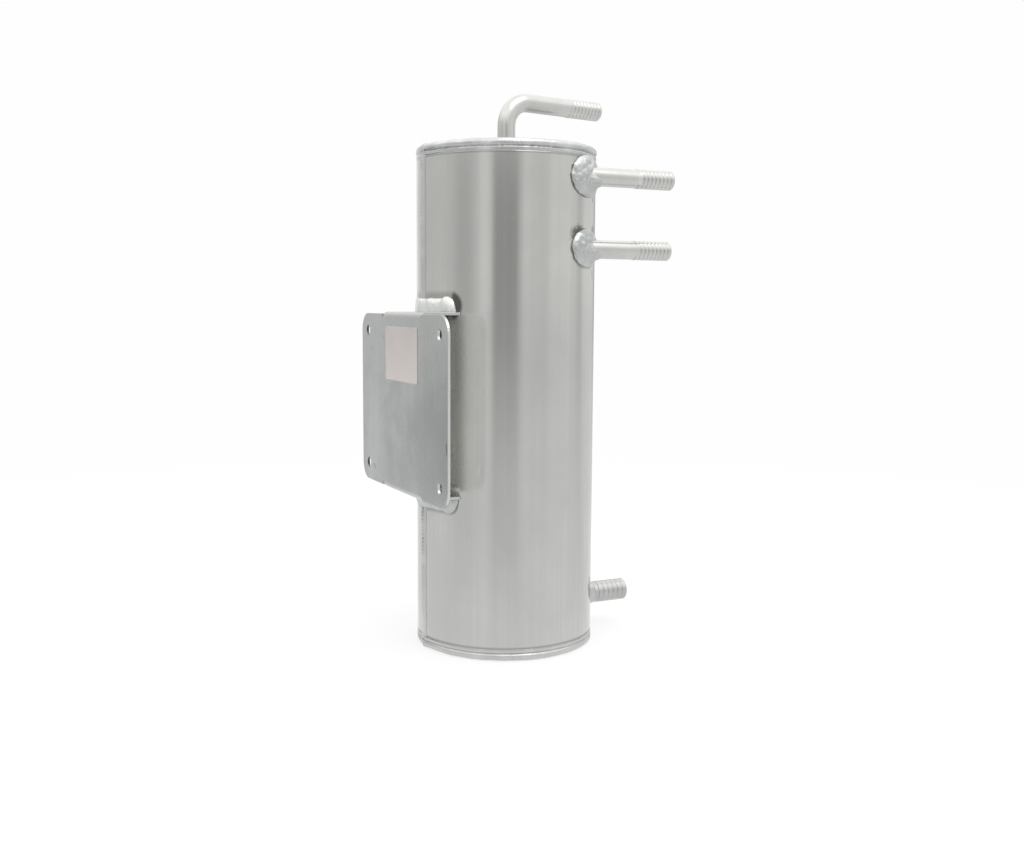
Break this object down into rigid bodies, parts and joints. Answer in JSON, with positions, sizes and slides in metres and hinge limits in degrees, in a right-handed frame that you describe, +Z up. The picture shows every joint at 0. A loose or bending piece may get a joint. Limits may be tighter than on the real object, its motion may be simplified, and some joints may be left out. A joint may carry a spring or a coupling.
{
  "type": "expansion vessel",
  "caption": "Welded aluminium header tank for a heating or cooling loop, with a bent vent pipe, ribbed hose pipes and a folded bolt-on bracket.",
  "frame": {"origin": "centre of the base, on the vessel's axis, at the underside that it stands on", "axes": "+Z up along the vessel's axis, +X the way the side pipes and the outlet leave, -X towards the bracket"},
  "size_m": [0.1451, 0.134, 0.31],
  "materials": {
    "shell_sheet": "satin drawn sheet with fine upright hairlines",
    "plate_sheet": "satin mill sheet",
    "weld_bead": "bright rippled bead",
    "pipe_tube": "bright drawn tube",
    "bracket_sheet": "dull blue-grey mill sheet",
    "label_stock": "matt printed-label film, blank"
  },
  "bodies": {
    "root": {"shell": "shell_sheet", "shell_seam_weld": "weld_bead", "top_end_plate": "plate_sheet", "bottom_end_plate": "plate_sheet", "top_rim_weld": "weld_bead", "bottom_rim_weld": "weld_bead", "vent_pipe": "pipe_tube", "vent_pipe_weld": "weld_bead", "upper_side_pipe": "pipe_tube", "upper_side_pipe_weld": "weld_bead", "lower_side_pipe": "pipe_tube", "lower_side_pipe_weld": "weld_bead", "outlet_pipe": "pipe_tube", "outlet_pipe_weld": "weld_bead", "mounting_bracket": "bracket_sheet", "bracket_top_weld": "weld_bead", "bracket_bottom_weld": "weld_bead", "blank_label": "label_stock"}
  },
  "joints": []
}
